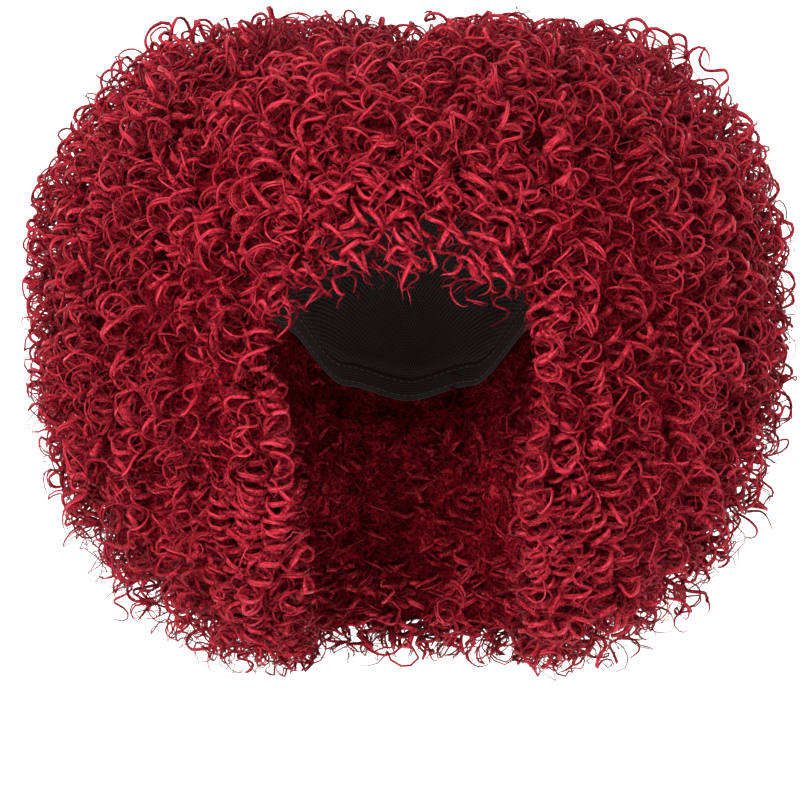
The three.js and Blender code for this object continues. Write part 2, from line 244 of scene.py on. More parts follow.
# Waves along a lock: their size as a share, and how many radians they run through
UNEVEN_WINDING = (0.03, 9)
SWELLING = (0.2, 5)

# Waves of a centre line: about how many run along it, and their size in metres on the outside
WANDERING = 2.0
OUTER_WANDER = 0.003

# Along a lock: shares of its length, and the coil's size and the strand's width there
COIL_TAPER = ([0, 0.15, 0.85, 1], [0.5, 1, 1, 0.75])
WIDTH_TAPER = ([0, 0.06, 0.86, 1], [0.3, 1, 0.85, 0.15])

# Down the hair: levels, and how far locks sway to a side there, together and each by itself
SWAY = ([0, 0.2, 0.5, 1], [0.3, 0.5, 0.26, 0.18])
SHARED_SWAY = 1.1
OWN_SWAY = 0.3

# Level at which locks begin to hang straight down, and how much lower they all do
HANG_LEVEL = 0.3
HANG_FADE = 0.3

# How much deeper tips lie at the crown, and the share of the outline over which that ends
CROWN_INSET = 0.004
CROWN_REACH = 0.2

# Locks in front point more forward: where that begins, over what distance it grows, and how much
FRONT_FROM = 0.04
FRONT_FADE = 0.1
FRONT_SPLAY = np.radians(30)

# Bend of a lock outwards and along its way, as shares of its length, and of a hanging one in metres
BEND_OUT = 0.1
BEND_ALONG = 0.04
HANGING_BEND = 0.002

# How far centre lines stay inside the outer form, and how far from the face opening's edge
REACH_MARGIN = 0.002
EDGE_MARGIN = 0.001

# Locks on the walls: their spacing, how much wider it is downwards, the stretch beside the face from
# the front backwards, the stretches downwards beside the face and round the neck, how far they stay
# away from the neck, how far above the lowest tips, and how far their centre lines stay away from
# the head, as a share of the greatest coil
WALL_SPACING = 0.0135
WALL_ROW = 2.2
FACE_WALL = (-0.112, -0.03)
FACE_WALL_DOWN = (-0.1, -0.25)
NECK_WALL_DOWN = (-0.13, -0.26)
NECK_CLEARANCE = 0.006
ABOVE_LOWEST = 0.004
WALL_MARGIN = 0.8

# Locks beside the face: how far beyond the opening's edge they begin, how far below its top a lock
# meets that edge and the outer form, and how far inside the form they stay in front
BESIDE_FACE = (0.003, 0.01)
EDGE_BELOW = 0.02
FORM_BELOW = 0.04
FORM_INSET = 0.012

# Shares of the neck's half depth at which its wall ends in front and at which the nape begins
NECK_FRONT = -0.25
NAPE_FRONT = 0.72

# Long locks in front: their number, how far from the middle they hang, and how far below the crown
# they begin, at least and with what spread
FRONT_COUNT = 9
FRONT_BESIDE = (0.059, 0.092)
FRONT_TOP = 0.165
FRONT_TOP_SPREAD = 0.05

# They end higher outwards: where that begins and by what share. They lean out up to a distance, and
# forward by a share of their lean to the side.
HIGHER_FROM = 0.06
HIGHER = 0.3
LEAN_OUT = 0.014
LEAN_FORWARD = 0.3

# Inner mass: its gap to the cap, the size of its mesh, and rows and columns of the form that trims it
CAP_GAP = 0.0008
VOXEL = 0.0065
SHELL_ROWS = 60
SHELL_COLUMNS = 110

# Net, band and stitches: steps round and down, and how far the net's map is turned
NET_STEPS = 96
NET_RINGS = 25
BAND_STEPS = 128
STITCH_STEPS = 240
MAP_TURN = 0.25

# Edge of the net, as angles: how far its skins end above the band, and how far its lip reaches down
NET_GAP = 3.5e-5
NET_LIP = 0.004

# Rows of stitches: shares of the band's width, and how far inside it they lie
STITCH_ROWS = (0.2, 0.82)
STITCH_SINK = 0.0001

# Colour of the gloss on the fibres
HAIR_GLOSS = (1, 0.4, 0.45)

# Lights: name, place, size and power
LIGHTS = (
    ("key", (-0.9, -1.7, 0.75), 0.8, 65),
    ("fill", (1.3, -1.5, 0.1), 1.2, 18),
    ("top", (0.1, 0.1, 1.3), 1.0, 14),
    ("back_left", (-1.1, 0.9, 0.5), 0.8, 8),
    ("back_right", (1.1, 0.9, 0.5), 0.8, 8),
)
WORLD_STRENGTH = 0.4

# Backdrop: half its width, front end, distance behind, radius of its bend, floor, top, and the steps
# of its bend
BACKDROP = dict(half=4.5, front=-4.0, behind=3.2, bend=0.8, floor=-0.75, top=4.0, steps=13)

# Camera: how far to the side, in front and below, and the width that it shows at the wig
CAMERA_PLACE = (-0.0047, -1.68, -0.15)
CAMERA_FIELD = 0.416


def metres(name, description, default):
    """A setting in metres."""
    return FloatProperty(name=name, description=description, default=default, unit="LENGTH")


def factor(name, description, default, low=0.0, high=1.0):
    """A setting that is a share or a scale."""
    return FloatProperty(
        name=name, description=description, default=default, min=low, max=high, subtype="FACTOR"
    )


def paint(name, description, default):
    """A setting that is a colour."""
    return FloatVectorProperty(
        name=name, description=description, default=default, subtype="COLOR"
    )


class HairForm(bpy.types.PropertyGroup):
    """Overall form of the hair, measured from the crown of the head."""

    half_width: metres("Half Width", "Reach of the hair to each side", HAIR_HALF_WIDTH)
    rise: metres("Rise", "Height above the crown", 0.047)
    drop: metres("Drop", "Length below the crown", 0.289)
    front: metres("Front", "Reach of the hair to the front", 0.128)
    back: metres("Back", "Reach of the hair to the back", 0.18)
    axis_back: metres("Axis", "How far behind the crown the form is widest", 0.022)
    parting_depth: metres("Parting Depth", "Dip over the parting", 0.011)
    parting_width: metres("Parting Width", "Half width of the dip", 0.024)
    parting_reach: factor("Parting Reach", "Share of the height over which the dip fades out", 0.22)
    mass_inset: metres("Mass Inset", "Depth of the dense inner mass below the tips", 0.018)
    clump_height: metres("Clump Height", "Relief of the clumps of the inner mass", 0.003)
    flare: metres("Flare", "How far the lower curls stand out", 0.004)
    overlap: metres("Overlap", "How far one group's inner mass runs under the next", 0.003)
    wall_depth: metres("Wall Depth", "Depth of the curls on the inner walls", 0.006)


class HeadForm(bpy.types.PropertyGroup):
    """Hollow that the head and the neck take up, and the cap and the band round it."""

    half_width: metres("Half Width", "Half the head's width", HEAD_HALF_WIDTH)
    half_length: metres("Half Length", "Half the head's length", HEAD_HALF_LENGTH)
    half_height: metres("Half Height", "Crown to the widest level", 0.1)
    neck_width: metres("Neck Half Width", "Half the neck's width", 0.06)
    neck_back: metres("Neck Centre", "Neck's centre behind the crown", 0.012)
    neck_top: metres("Neck Top", "Depth where the neck begins", 0.145)
    wall: metres("Cap Wall", "Thickness of the cap and the band", CAP_WALL)
    band_width: metres("Band Width", "Width of the rim band", 0.014)
    stitch_length: metres("Stitch Length", "Length of one stitch", 0.0026)
    stitch_spacing: metres("Stitch Spacing", "From one stitch to the next", 0.0038)
    stitch_thickness: metres("Stitch Thickness", "Thickness of the thread", 0.0005)


class CurlForm(bpy.types.PropertyGroup):
    """Sizes of the single curls."""

    coil_scale: factor("Coil Size", "Scale of the coils' diameter", 1.0, 0.3, 2.0)
    band_scale: factor("Strand Size", "Scale of the strands' width", 1.0, 0.3, 2.0)
    outer_detail: factor("Outer Detail", "How much finer the bends are outside", 0.35, 0.0, 0.8)
    # Painted light: each coil is painted lighter, as a highlight, on its side away from this point,
    # and darker, as shade, on its side towards it
    middle: FloatVectorProperty(
        name="Middle", description="Point that every curl turns its lighter side away from",
        default=(0.0, 0.02, -0.13), subtype="TRANSLATION", unit="LENGTH",
    )


class WigColours(bpy.types.PropertyGroup):
    """Colours of the fibres, the cap and the band."""

    fibre_dark: paint("Dark Fibre", "Darkest curls", (0.045, 0.0008, 0.003))
    fibre_mid: paint("Fibre", "Most curls", (0.25, 0.0045, 0.013))
    fibre_light: paint("Light Fibre", "Lightest curls", (0.46, 0.028, 0.05))
    # Painted shade: this near-black ground of the inner mass stands for the shade deep between the
    # curls
    depth: paint("Depth", "Darkest hair between the curls", (0.012, 0.0002, 0.0008))
    net: paint("Cap Net", "Stretch net of the cap", (0.032, 0.021, 0.02))
    elastic: paint("Band", "Woven elastic", (0.024, 0.017, 0.017))
    thread: paint("Thread", "Sewing thread", (0.09, 0.06, 0.06))
    seed: IntProperty(name="Seed", description="Start of every random choice", default=7)


def finished_mesh(shape, name):
    """A mesh from an editable shape, which is freed."""
    mesh = bpy.data.meshes.new(name)
    shape.to_mesh(mesh)
    shape.free()
    return mesh


def placed(name, data):
    """A new object in the scene."""
    obj = bpy.data.objects.new(name, data)
    bpy.context.scene.collection.objects.link(obj)
    return obj


def unit(vectors):
    return vectors / np.maximum(np.linalg.norm(vectors, axis=-1, keepdims=True), SHORTEST)


def between(rng, limits, count):
    return rng.uniform(limits[0], limits[1], count)


def all_round(steps):
    """Turns spread evenly all the way round, from the front."""
    return np.linspace(0, 2, steps, endpoint=False)


def level_of(z):
    """Level of a height in the hair, from 0 at the top to 1 at the lowest tips."""
    form = bpy.context.scene.hair_form
    return (form.rise - z) / (form.rise + form.drop)


def profile_lengths():
    """How far along the side outline each section lies, as a share of the whole outline."""
    form = bpy.context.scene.hair_form
    across = np.diff(HAIR_SECTIONS[:, 1]) * form.half_width
    down = np.diff(HAIR_SECTIONS[:, 0]) * (form.rise + form.drop)
    run = np.concatenate([[0.0], np.cumsum(np.hypot(across, down))])
    return run / run[-1], run[-1]


def hair_point(along, turn, inset):
    """A point of the outer form, moved in by an inset. Turn 0 is the front and 1 the back."""
    form = bpy.context.scene.hair_form
    run, _ = profile_lengths()
    level, width, front, back = (np.interp(along, run, HAIR_SECTIONS[:, i]) for i in range(4))
    forward = np.cos(turn * pi)
    reach = np.where(
        forward > 0,
        front * (form.front + form.axis_back - inset),
        back * (form.back - form.axis_back - inset),
    )
    x = np.sin(turn * pi) * width * (form.half_width - inset)
    fade = np.clip(1 - level / form.parting_reach, 0, 1)
    dip = form.parting_depth * fade * np.exp(-((x / form.parting_width) ** 2))
    z = form.rise - inset - level * (form.rise + form.drop - 2 * inset) - dip
    return np.stack([x, form.axis_back - forward * reach, z], axis=-1)


def hair_directions(along, turn, inset):
    """Direction in which the hair falls over the form, and the way out of it."""
    step = 0.004
    fall = hair_point(along + step, turn, inset) - hair_point(along - step, turn, inset)
    around = hair_point(along, turn + step, inset) - hair_point(along, turn - step, inset)
    fall = unit(fall)
    return fall, unit(np.cross(around, fall) * -1)


def face_half_width(z):
    return np.interp(-z, FACE_OUTLINE[:, 0], FACE_OUTLINE[:, 1])


def in_front(points):
    """Whether points lie in front and below the top of the face opening."""
    return (points[..., 1] < 0) & (points[..., 2] < -FACE_OUTLINE[0, 0])


def outwards_by(reach):
    """Factor that brings points inside a form, at shares of its reach, out to its surface."""
    return np.maximum(1, 1 / np.maximum(reach, CORE))


def clear_of_neck(points, margin):
    """Points pushed out of the hollow for the neck."""
    head = bpy.context.scene.head_form
    neck = np.array([0.0, head.neck_back])
    flat = points[..., :2] - neck
    reach = np.linalg.norm(flat, axis=-1, keepdims=True) / (head.neck_width + margin)
    grown = neck + flat * outwards_by(reach)
    low = points[..., 2:] < -head.neck_top
    points = points.copy()
    points[..., :2] = np.where(low, grown, points[..., :2])
    return points


def clear_of_head(points, margin):
    """Points pushed out of the hollow for the head and the neck."""
    head = bpy.context.scene.head_form
    centre = np.array([0.0, 0.0, -head.half_height])
    half = np.array([head.half_width, head.half_length, head.half_height]) + head.wall + margin
    offset = points - centre
    reach = np.linalg.norm(offset / half, axis=-1, keepdims=True)
    return clear_of_neck(centre + offset * outwards_by(reach), margin)


def clear_of_face(paths, margin):
    """Centre lines pushed sideways out of the opening for the face and the neck."""
    paths = paths.copy()
    side = np.sign(paths[:, :1, 0] + paths[:, -1:, 0] + SAME_PLACE)
    edge = face_half_width(paths[..., 2]) + margin
    beyond = np.maximum(side * paths[..., 0], edge)
    paths[..., 0] = np.where(in_front(paths), side * beyond, paths[..., 0])
    return paths


def within_reach(points, margin):
    """Points held inside the greatest reach of the outer form."""
    form = bpy.context.scene.hair_form
    high = np.array([form.half_width, form.back, form.rise - margin]) - margin
    low = np.array([-form.half_width, -form.front, -form.drop]) + margin
    return np.clip(points, low, high)


def scatter(spacing, rng):
    """Places spread evenly over the outer form, in rows that run round it."""
    _, length = profile_lengths()
    rows = np.arange(spacing * 0.5, length, spacing) / length
    places = []
    for row in rows:
        ring = hair_point(row, np.linspace(0, 2, RING_POINTS), 0)
        around = np.linalg.norm(np.diff(ring, axis=0), axis=1).sum()
        count = max(1, round(around / spacing))
        turn = 2 * (np.arange(count) + rng.uniform(-JITTER, JITTER, count) + rng.random()) / count
        along = row + rng.uniform(-JITTER, JITTER, count) * spacing / length
        places.append(np.stack([np.clip(along, *ENDS), turn], axis=1))
    return np.concatenate(places).T


@cache
def nearness(name):
    """The named node's faces, to measure distances from."""
    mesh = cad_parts[name].data
    corners = [v.co.copy() for v in mesh.vertices]
    mesh.calc_loop_triangles()
    return BVHTree.FromPolygons(corners, [tuple(t.vertices) for t in mesh.loop_triangles])


def belongs_to(points, name):
    """Whether each point lies nearest to the named group of curls."""
    nearest = []
    for point in points:
        gaps = {key: nearness(key).find_nearest(Vector(point))[3] for key in CURL_NODES}
        nearest.append(min(gaps, key=gaps.get) == name)
    return np.array(nearest, dtype=bool)


def lock_paths(root, bend, tip, steps):
    """Curved centre lines from the roots through the bends to the tips."""
    share = np.linspace(0, 1, steps + 1)[None, :, None]
    a, b, c = (p[:, None, :] for p in (root, bend, tip))
    return (1 - share) ** 2 * a + 2 * share * (1 - share) * b + share**2 * c


def wandering(rng, count, steps, size):
    """Slow random waves along each of several curves."""
    share = np.linspace(0, 1, steps + 1)[None, :, None]
    phase = rng.uniform(0, FULL_TURN, (count, 1, 3))
    speed = rng.uniform(0.5, 1.5, (count, 1, 3)) * WANDERING
    return size * np.sin(phase + share * speed * FULL_TURN) * share


def waves(limits, start, share):
    """Waves along each lock, from where each starts."""
    size, run = limits
    return size * np.sin(start[:, None] + share * run)


def coil_bands(rng, path, kind):
    """Strands wound round centre lines, several to a lock, as rings of three corners."""
    locks, points, _ = path.shape
    strands = kind["strands"]
    size = bpy.context.scene.curl_form
    share = np.linspace(0, 1, points)[None, :]
    tangent = unit(np.gradient(path, axis=1))
    reference = unit(rng.normal(size=(locks, 1, 3)))
    side = unit(reference - tangent * (tangent * reference).sum(-1, keepdims=True))
    length = np.linalg.norm(np.diff(path, axis=1), axis=2).sum(1)
    turns = length / between(rng, kind["pitch"], locks)
    hand = rng.choice([-1, 1], locks)
    phase, drift, swell = rng.uniform(0, FULL_TURN, (3, locks))
    radius = between(rng, kind["coil"], locks) * size.coil_scale
    tone = between(rng, kind["tone"], locks)
    path, side, tangent, turns, hand, phase, drift, swell, radius, tone = (
        np.repeat(a, strands, axis=0)
        for a in (path, side, tangent, turns, hand, phase, drift, swell, radius, tone)
    )
    count = locks * strands
    phase = phase + rng.normal(0, PHASE_SPREAD, count) * (strands > 1)
    radius = radius * between(rng, COIL_SPREAD, count)
    tone = tone + rng.normal(0, TONE_SPREAD, count)
    other = np.cross(tangent, side)
    wound = share + waves(UNEVEN_WINDING, drift, share)
    angle = phase[:, None] + hand[:, None] * FULL_TURN * turns[:, None] * wound
    outwards = unit(path - np.array(size.middle))
    outer_angle = np.arctan2((outwards * other).sum(-1), (outwards * side).sum(-1))
    angle = angle - size.outer_detail * np.sin(angle - outer_angle)
    swollen = 1 + waves(SWELLING, swell, share)
    radial = np.cos(angle)[..., None] * side + np.sin(angle)[..., None] * other
    # Painted highlight and shade: the tone rises on the side of each coil that faces away from the
    # middle point and falls on the side that faces it
    tone = tone[:, None] + PAINTED_COIL_HIGHLIGHT * (radial * outwards).sum(-1)
    away = radius[:, None] * swollen * np.interp(share, *COIL_TAPER)
    centre = path + radial * away[..., None]
    along = unit(np.gradient(centre, axis=1))
    across = unit(np.cross(along, radial))
    out = np.cross(across, along)
    uneven = between(rng, WIDTH_SPREAD, count)[:, None]
    width = kind["band"] * size.band_scale * uneven * np.interp(share, *WIDTH_TAPER)
    half = across * (width / 2)[..., None]
    lift = out * (width * kind["depth"])[..., None]
    rings = np.stack([centre + half + lift, centre - half + lift, centre - lift], axis=2)
    travel = np.linalg.norm(np.diff(centre, axis=1), axis=2).cumsum(1)
    travel = np.concatenate([np.zeros((count, 1)), travel], axis=1)
    return strand_arrays(rings, travel, np.clip(tone, 0, 1))


def strand_arrays(rings, travel, tone):
    """Corners, faces, map and tone of closed three-sided strands."""
    count, points, sides, _ = rings.shape
    corner = np.arange(count * points * sides).reshape(count, points, sides)
    after = np.roll(corner, -1, axis=2)
    quads = np.stack([corner[:, :-1], corner[:, 1:], after[:, 1:], after[:, :-1]], axis=-1)
    low = np.broadcast_to(np.arange(sides), (count, points - 1, sides)) / sides
    high = low + 1 / sides
    start = np.broadcast_to(travel[:, :-1, None], low.shape)
    end = np.broadcast_to(travel[:, 1:, None], low.shape)
    pairs = ((low, start), (low, end), (high, end), (high, start))
    maps = np.stack([np.stack(pair, -1) for pair in pairs], axis=-2)
    caps = np.concatenate([corner[:, 0], corner[:, -1, ::-1]])
    return {
        "corners": rings.reshape(-1, 3),
        "quads": quads.reshape(-1, 4),
        "quad_maps": maps.reshape(-1, 2),
        "caps": caps,
        "cap_maps": np.zeros((caps.size, 2)),
        "tone": np.repeat(tone.ravel(), sides),
    }


def join_bands(groups):
    """One set of arrays from several."""
    shift = 0
    joined = {key: [] for key in groups[0]}
    for group in groups:
        for key, values in group.items():
            joined[key].append(values + shift if key in ("quads", "caps") else values)
        shift += len(group["corners"])
    return {key: np.concatenate(values) for key, values in joined.items()}


def mesh_of_bands(name, bands):
    """A mesh with a map along each band and a tone for each lock, which also holds the painted
    highlight and shade round each coil.
    """
    mesh = bpy.data.meshes.new(name)
    quads, caps = bands["quads"], bands["caps"]
    mesh.vertices.add(len(bands["corners"]))
    mesh.vertices.foreach_set("co", bands["corners"].astype(np.float32).ravel())
    loops = np.concatenate([quads.ravel(), caps.ravel()])
    sizes = np.concatenate([np.full(len(quads), 4), np.full(len(caps), 3)])
    mesh.loops.add(len(loops))
    mesh.loops.foreach_set("vertex_index", loops.astype(np.int32))
    mesh.polygons.add(len(sizes))
    starts = np.concatenate([[0], np.cumsum(sizes)[:-1]])
    mesh.polygons.foreach_set("loop_start", starts.astype(np.int32))
    mesh.polygons.foreach_set("use_smooth", np.ones(len(sizes), dtype=bool))
    mesh.update(calc_edges=True)
    layer = mesh.uv_layers.new(name="fibre")
    maps = np.concatenate([bands["quad_maps"], bands["cap_maps"]])
    layer.uv.foreach_set("vector", maps.astype(np.float32).ravel())
    tone = mesh.attributes.new("tone", "FLOAT", "POINT")
    tone.data.foreach_set("value", bands["tone"].astype(np.float32))
    return mesh


def outer_bands(rng, name, kind):
    """Curls of one kind over the outside of a named group."""
    form = bpy.context.scene.hair_form
    along, turn = scatter(kind["spacing"], rng)
    count = len(along)
    deeper = CROWN_INSET * np.clip(1 - along / CROWN_REACH, 0, 1)
    inset = between(rng, kind["inset"], count) + deeper
    level = level_of(hair_point(along, turn, 0)[:, 2])
    hang = np.clip((level - HANG_LEVEL) / HANG_FADE, 0, 1)
    tip = hair_point(along, turn, inset - form.flare * hang)
    keep = ~(in_front(tip) & (np.abs(tip[:, 0]) < face_half_width(tip[:, 2])))
    fall, out = hair_directions(along, turn, inset)
    way = unit(fall * (1 - hang[:, None]) + DOWN * hang[:, None])
    loose = np.interp(level, *SWAY)
    sway = (SHARED_SWAY * combing(tip) + rng.normal(0, OWN_SWAY, count)) * loose
    way = unit(way + np.cross(out, way) * sway[:, None])
    splay = np.radians(between(rng, kind["splay"], count))
    facing = np.clip((FRONT_FROM - tip[:, 1]) / FRONT_FADE, 0, 1) * (1 - hang)
    splay = (splay + FRONT_SPLAY * facing * rng.random(count) ** 2)[:, None]
    length = between(rng, kind["length"], count)[:, None]
    root = tip - length * (way * np.cos(splay) + out * np.sin(splay))
    bend = (root + tip) / 2 + out * length * BEND_OUT + way * length * BEND_ALONG
    keep &= belongs_to((root + tip) / 2, name)
    if not keep.any():
        return None
    path = lock_paths(root[keep], bend[keep], tip[keep], kind["steps"])
    path += wandering(rng, len(path), kind["steps"], OUTER_WANDER)
    path = clear_of_head(within_reach(path, REACH_MARGIN), kind["coil"][1])
    return coil_bands(rng, clear_of_face(path, -EDGE_MARGIN), kind)


def hanging_bands(rng, tops, drops, lean, kind):
    """Locks that hang from their tops with a sideways lean."""
    tip = tops + DOWN * drops[:, None] + lean
    bend = (tops + tip) / 2 + rng.normal(0, HANGING_BEND, tops.shape)
    path = lock_paths(tops, bend, tip, kind["steps"])
    return path + wandering(rng, len(tops), kind["steps"], kind["wander"])


def front_of(x, z, inset):
    """How far forward the outer form lies at a distance from its middle and a level."""
    run, _ = profile_lengths()
    level = level_of(z)
    levels, widths = HAIR_SECTIONS[1:-1, 0], HAIR_SECTIONS[1:-1, 1]
    width = np.interp(level, levels, widths) * bpy.context.scene.hair_form.half_width
    turn = np.arcsin(np.clip(x / width, 0, SIDEMOST)) / pi
    return hair_point(np.interp(level, levels, run[1:-1]), turn, inset)[..., 1]


def wall_places(rng, name):
    """Tops of the locks that line the walls beside the face and the hollow for the neck."""
    head = bpy.context.scene.head_form
    side = SIDES[name]
    row = -WALL_SPACING * WALL_ROW
    places = []
    if side:
        for y in np.arange(*FACE_WALL, WALL_SPACING):
            for z in np.arange(*FACE_WALL_DOWN, row):
                place = z + rng.uniform(-0.5, 0.5) * WALL_SPACING * 2
                edge = face_half_width(place - EDGE_BELOW) + rng.uniform(*BESIDE_FACE)
                forward = y + rng.uniform(-JITTER, JITTER) * WALL_SPACING
                if forward > front_of(edge, place - FORM_BELOW, FORM_INSET):
                    places.append((side * edge, forward, place))
    around = WALL_SPACING / (pi * head.neck_width)
    reach = head.neck_width + NECK_CLEARANCE
    for turn in np.arange(0.0, 2.0, around):
        for z in np.arange(*NECK_WALL_DOWN, row):
            angle = (turn + rng.uniform(-JITTER, JITTER) * around) * pi
            x, y = np.sin(angle), -np.cos(angle)
            at_nape = y > NAPE_FRONT
            if at_nape == bool(side) or y < NECK_FRONT or x * side < 0:
                continue
            place = z + rng.uniform(-0.5, 0.5) * WALL_SPACING * 2
            places.append((x * reach, head.neck_back + y * reach, place))
    return np.array(places)


def wall_bands(rng, name):
    """Curls on the inner walls, which hang with a small lean."""
    form = bpy.context.scene.hair_form
    tops = wall_places(rng, name)
    count = len(tops)
    lowest = tops[:, 2] + form.drop - ABOVE_LOWEST
    drops = np.minimum(between(rng, WALL_LOCKS["length"], count), lowest)
    lean = rng.normal(0, WALL_LOCKS["lean"], (count, 3)) * np.array([1, 1, 0])
    path = hanging_bands(rng, tops, drops, lean, WALL_LOCKS)
    path = clear_of_face(clear_of_head(path, WALL_LOCKS["coil"][1] * WALL_MARGIN), 0.0)
    return coil_bands(rng, path, WALL_LOCKS)


def front_bands(rng, name):
    """Long corkscrew locks in front, beside the face and the neck."""
    form = bpy.context.scene.hair_form
    side, count = SIDES[name], FRONT_COUNT
    x = np.linspace(*FRONT_BESIDE, count) + rng.uniform(-SIDE_SHIFT, SIDE_SHIFT, count)
    top = -FRONT_TOP - rng.uniform(0, FRONT_TOP_SPREAD, count)
    lowest = top + form.drop - ABOVE_LOWEST - HIGHER * (x - HIGHER_FROM)
    drops = np.minimum(between(rng, FRONT_LOCKS["length"], count), lowest)
    inset = between(rng, FRONT_LOCKS["inset"], count)
    tops = np.stack([side * x, front_of(x, top, inset), top], axis=1)
    lean = rng.normal(0, FRONT_LOCKS["lean"], (count, 3)) * np.array([1, LEAN_FORWARD, 0])
    lean[:, 1] += front_of(x, top - drops, inset) - tops[:, 1]
    lean[:, 0] += side * rng.uniform(0, LEAN_OUT, count)
    path = hanging_bands(rng, tops, drops, lean, FRONT_LOCKS)
    return coil_bands(rng, clear_of_face(path, EDGE_MARGIN), FRONT_LOCKS)


def fringe_bands(rng, row):
    """Thin stretched curls that hang over the forehead."""
    head = bpy.context.scene.head_form
    count, inner = row["count"], row["inner"]
    share = np.linspace(-1, 1, count)
    x = np.sign(share) * (inner + (FRINGE_HALF_WIDTH - inner) * np.abs(share))
    x += rng.uniform(-SIDE_SHIFT, SIDE_SHIFT, count)
    forehead = -np.sqrt(1 - (x / FOREHEAD_HALF_WIDTH) ** 2) * head.half_length
    top = -between(rng, row["top"], count)
    tops = np.stack([x, forehead - between(rng, row["out"], count), top], axis=1)
    longest = FRINGE_LENGTH + LONGER * np.maximum(np.abs(x) - LONGER_FROM, 0)
    drops = top + longest - between(rng, row["shorter"], count)
    sideways = rng.normal(*FRINGE_SIDEWAYS, count)
    forward = rng.normal(*FRINGE_FORWARD, count)
    lean = np.stack([sideways, forward, 0 * x], 1)
    return coil_bands(rng, hanging_bands(rng, tops, drops, lean, row), row)


def mixed_bands(name):
    """All curls of one group."""
    rng = np.random.default_rng([bpy.context.scene.wig_colours.seed, CURL_NODES.index(name)])
    made = [outer_bands(rng, name, kind) for kind in LAYERS.values()]
    if name in LOWER_NODES:
        made.append(wall_bands(rng, name))
    if SIDES.get(name):
        made.append(front_bands(rng, name))
    if name == FRINGE_NODE:
        made += [fringe_bands(rng, row) for row in FRINGE_ROWS]
    return join_bands([part for part in made if part is not None])


def ripples(points, slopes, starts, height):
    """Mean of several waves that run through space, at the given points."""
    return np.sin(points @ np.array(slopes).T + np.array(starts)).mean(-1) * height


def combing(points):
    """Slow sideways sway that neighbouring curls share, from about -1 to 1."""
    slopes = [[75, 20, 40], [-35, 65, 60], [45, -55, 85]]
    return ripples(points, slopes, [0.9, 2.6, 5.0], 1.5)


def clumps(points):
    """Height of the clumps in which the inner mass lies, from about -1 to 1."""
    slopes = [[210, 40, 90], [-60, 190, 110], [90, -120, 200], [150, 160, -130]]
    return ripples(points, slopes, [0.3, 1.7, 4.1, 5.2], 1.4)


def form_shell(inset, relief):
    """Closed clumped surface of the outer form at an inset, to trim the inner mass with."""
    columns = SHELL_COLUMNS
    along = np.linspace(0, 1, SHELL_ROWS + 1)[1:-1, None]
    turn = all_round(columns)[None, :]
    grid = hair_point(along, turn, inset - relief * clumps(hair_point(along, turn, inset)))
    shell = bmesh.new()
    rings = [[shell.verts.new(p) for p in row] for row in grid]
    for upper, lower in zip(rings, rings[1:]):
        for i in range(columns):
            j = (i + 1) % columns
            shell.faces.new((upper[i], lower[i], lower[j], upper[j]))
    for ring in (rings[0], rings[-1]):
        middle = sum((vertex.co for vertex in ring), Vector()) / columns
        pole = shell.verts.new(middle)
        for i in range(columns):
            shell.faces.new((ring[i], ring[(i + 1) % columns], pole))
    bmesh.ops.recalc_face_normals(shell, faces=shell.faces)
    return placed("form_shell", finished_mesh(shell, "form_shell"))


def evaluated_mesh(obj, name):
    """The object's mesh with its modifiers applied."""
    graph = bpy.context.evaluated_depsgraph_get()
    mesh = bpy.data.meshes.new_from_object(obj.evaluated_get(graph))
    mesh.name = name
    return mesh


def clear_of_arch(points, margin):
    """Points pushed up out of the face opening, to above its arched top."""
    points = points.copy()
    arch = np.interp(np.abs(points[:, 0]), FACE_OUTLINE[:5, 1], FACE_OUTLINE[:5, 0])
    inside = (points[:, 1] < 0) & (points[:, 2] < margin - arch)
    points[:, 2] = np.where(inside, margin - arch, points[:, 2])
    return points


def inner_mass(name):
    """Dense hair under the curls: the group's own form, grown a little and trimmed below the tips."""
    form = bpy.context.scene.hair_form
    copy = placed(name + "_mass", merged_copy(name))
    shell = form_shell(form.mass_inset, form.clump_height)
    remesh = copy.modifiers.new("even", "REMESH")
    remesh.mode = "VOXEL"
    remesh.voxel_size = VOXEL
    grow = copy.modifiers.new("grow", "DISPLACE")
    grow.mid_level = 0.0
    grow.strength = form.overlap
    trim = copy.modifiers.new("trim", "BOOLEAN")
    trim.operation = "INTERSECT"
    trim.solver = "EXACT"
    trim.object = shell
    mesh = evaluated_mesh(copy, name + "_mass")
    for obj in (copy, shell):
        bpy.data.objects.remove(obj)
    points = np.empty(len(mesh.vertices) * 3)
    mesh.vertices.foreach_get("co", points)
    points = points.reshape(-1, 3)
    if name == FRINGE_NODE:
        points = clear_of_arch(points, form.wall_depth)
    else:
        points = clear_of_face(clear_of_head(points, CAP_GAP)[:, None], form.wall_depth)[:, 0]
        points = clear_of_neck(points, form.wall_depth)
    mesh.vertices.foreach_set("co", points.ravel())
    return mesh


def merged_copy(name):
    """A copy of a group's mesh with its loose triangles joined."""
    shape = bmesh.new()
    shape.from_mesh(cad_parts[name].data)
    bmesh.ops.remove_doubles(shape, verts=shape.verts, dist=SAME_PLACE)
    return finished_mesh(shape, name + "_copy")


def add_piece(name, mesh, materials, node):
    """A finished piece that stands for a node and rides with it."""
    for material in materials:
        mesh.materials.append(material)
    piece = placed(name, mesh)
    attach(piece, "root")
    if node:
        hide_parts(node)


def rim_angle(turn):
    """Angle down from the crown at which the cap's edge lies. Turn 0 is the forehead, 1 the nape."""
    half = 1 - np.abs(1 - np.mod(turn, 2))
    after = np.clip(np.searchsorted(RIM[:, 0], half), 1, len(RIM) - 1)
    before = RIM[after - 1]
    following = RIM[after]
    share = np.clip((half - before[..., 0]) / (following[..., 0] - before[..., 0]), 0, 1)
    share = share * share * (3 - 2 * share)
    return np.arccos(1 - (before[..., 1] + (following[..., 1] - before[..., 1]) * share))


